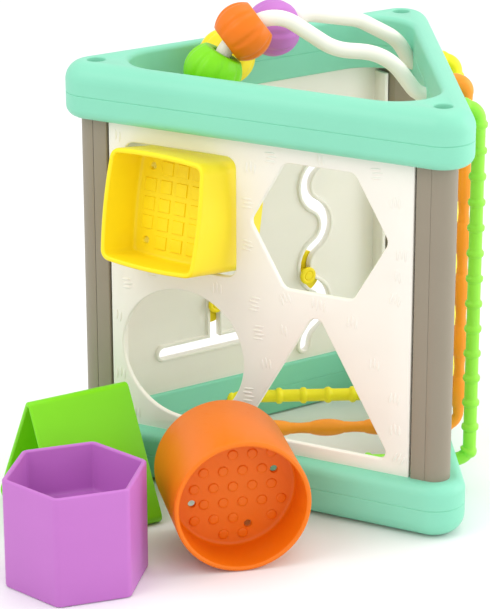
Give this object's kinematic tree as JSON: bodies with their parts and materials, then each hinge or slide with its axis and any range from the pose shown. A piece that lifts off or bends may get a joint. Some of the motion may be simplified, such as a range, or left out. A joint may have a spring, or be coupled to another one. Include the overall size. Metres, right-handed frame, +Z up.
{
  "type": "shape sorter",
  "caption": "Triangular toy frame with sorting holes, nesting cups, a slider maze on one side, soft strands on the open side and beads on bent rods above.",
  "frame": {"origin": "middle of the whole set's footprint, cups included, on the floor", "axes": "+Z up, the sorting panel faces -Y, the open side with the strands faces +X and a little +Y, the maze panel faces -X and a little +Y"},
  "size_m": [0.2012, 0.2962, 0.2179],
  "materials": {
    "mint_plastic": "moulded, soft gloss",
    "taupe_plastic": "moulded, satin",
    "panel_plastic": "moulded, satin",
    "rod_plastic": "moulded, soft gloss",
    "yellow_plastic": "moulded, soft gloss",
    "orange_plastic": "moulded, soft gloss",
    "purple_plastic": "moulded, soft gloss",
    "green_plastic": "moulded, soft gloss",
    "green_silicone": "soft silicone",
    "orange_silicone": "soft silicone",
    "yellow_silicone": "soft silicone",
    "screw_steel": "zinc plated"
  },
  "bodies": {
    "frame": {"top_ring_cover": "mint_plastic", "top_ring_base": "mint_plastic", "bottom_ring_cover": "mint_plastic", "bottom_ring_base": "mint_plastic", "post_left_outer": "taupe_plastic", "post_left_inner": "taupe_plastic", "post_right_outer": "taupe_plastic", "post_right_inner": "taupe_plastic", "post_back_outer": "taupe_plastic", "post_back_inner": "taupe_plastic", "sorter_panel": "panel_plastic", "maze_panel": "panel_plastic", "front_rod": "rod_plastic", "rear_rod": "rod_plastic", "green_strand": "green_silicone", "orange_strand": "orange_silicone", "yellow_strand": "yellow_silicone", "top_screws": "screw_steel", "bottom_screws": "screw_steel"},
    "wave_slider": {"wave_slider": "yellow_plastic", "wave_slider_clip": "yellow_plastic"},
    "tee_slider": {"tee_slider": "yellow_plastic", "tee_slider_clip": "yellow_plastic"},
    "orange_bead": {"orange_bead": "orange_plastic"},
    "green_bead": {"green_bead": "green_plastic"},
    "purple_bead": {"purple_bead": "purple_plastic"},
    "yellow_bead": {"yellow_bead": "yellow_plastic"},
    "square_cup": {"square_cup": "yellow_plastic"},
    "hexagon_cup": {"hexagon_cup": "purple_plastic"},
    "round_cup": {"round_cup": "orange_plastic"},
    "triangle_cup": {"triangle_cup": "green_plastic"}
  },
  "joints": [
    {"name": "orange_bead_spin", "type": "hinge", "parent": "frame", "child": "orange_bead", "pos_m": [-0.01879, 0.01573, 0.2051], "axis": [-0.6523, -0.4783, -0.5879], "continuous": true},
    {"name": "green_bead_spin", "type": "hinge", "parent": "frame", "child": "green_bead", "pos_m": [-0.02967, 0.00775, 0.188], "axis": [-0.4073, -0.2987, -0.8631], "continuous": true},
    {"name": "purple_bead_spin", "type": "hinge", "parent": "frame", "child": "purple_bead", "pos_m": [-0.02445, 0.05625, 0.1972], "axis": [-0.6224, -0.7827, 0], "continuous": true},
    {"name": "yellow_bead_spin", "type": "hinge", "parent": "frame", "child": "yellow_bead", "pos_m": [-0.03877, 0.03825, 0.1865], "axis": [-0.3717, -0.4673, -0.8022], "continuous": true},
    {"name": "square_cup_slide", "type": "slide", "parent": "frame", "child": "square_cup", "axis": [-0.123, -0.9739, 0.1908], "range_m": [-0.016, 0.04]},
    {"name": "hexagon_cup_lift", "type": "slide", "parent": "frame", "child": "hexagon_cup", "axis": [0, 0, 1], "range_m": [0, 0.04]},
    {"name": "round_cup_lift", "type": "slide", "parent": "frame", "child": "round_cup", "axis": [0, 0, 1], "range_m": [0, 0.04]},
    {"name": "triangle_cup_lift", "type": "slide", "parent": "frame", "child": "triangle_cup", "axis": [0, 0, 1], "range_m": [0, 0.04]},
    {"name": "wave_slider_swing", "type": "hinge", "parent": "frame", "child": "wave_slider", "pos_m": [-0.02215, 0.10295, 0.072], "axis": [-0.866, 0.5, 0], "range_deg": [-34, 75]},
    {"name": "tee_slider_slide", "type": "slide", "parent": "frame", "child": "tee_slider", "axis": [0, 0, 1], "range_m": [-0.019, 0.047]}
  ]
}
